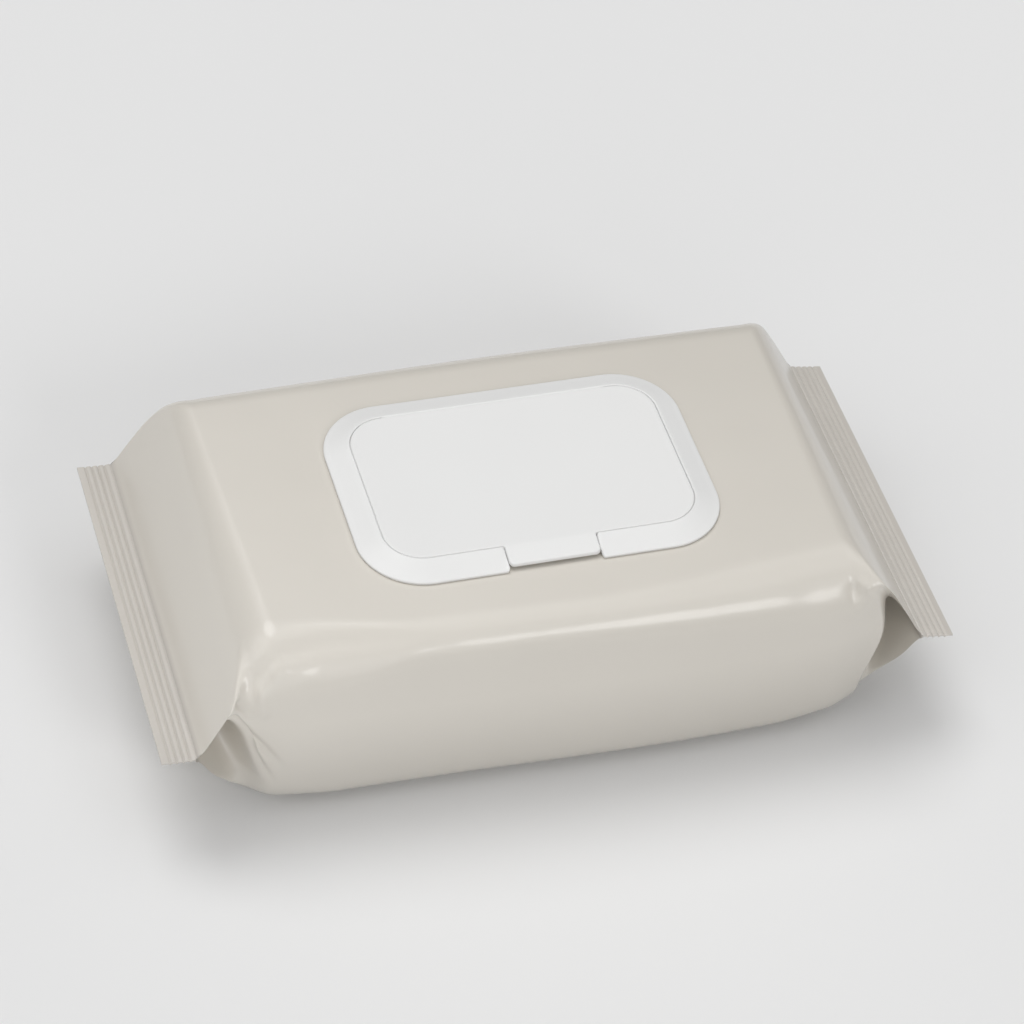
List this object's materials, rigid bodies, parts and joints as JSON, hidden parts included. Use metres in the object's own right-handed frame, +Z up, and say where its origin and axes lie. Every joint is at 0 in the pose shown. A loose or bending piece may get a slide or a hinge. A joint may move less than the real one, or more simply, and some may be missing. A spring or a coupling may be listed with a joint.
{
  "type": "wet wipes pack",
  "caption": "Soft film flow pack of wet wipes with crimped end seals, tucked ends and a white moulded flip lid.",
  "frame": {"origin": "middle of the underside, on the surface that the pack lies on", "axes": "+X along the pack from end seal to end seal, +Y towards the lid's hinge, +Z up out of the lid"},
  "size_m": [0.219, 0.11, 0.0632],
  "materials": {
    "film": "warm grey satin laminated film",
    "label": "pale satin film label",
    "lid": "white moulded polypropylene, fine satin"
  },
  "bodies": {
    "pack": {"film_pack": "film", "seal_label": "label", "lid_frame": "lid"},
    "flap": {"lid_flap": "lid"}
  },
  "joints": [
    {"name": "flap_hinge", "type": "hinge", "parent": "pack", "child": "flap", "pos_m": [0, 0.02658, 0.0632], "axis": [-1, 0, 0], "range_deg": [0, 120]}
  ]
}
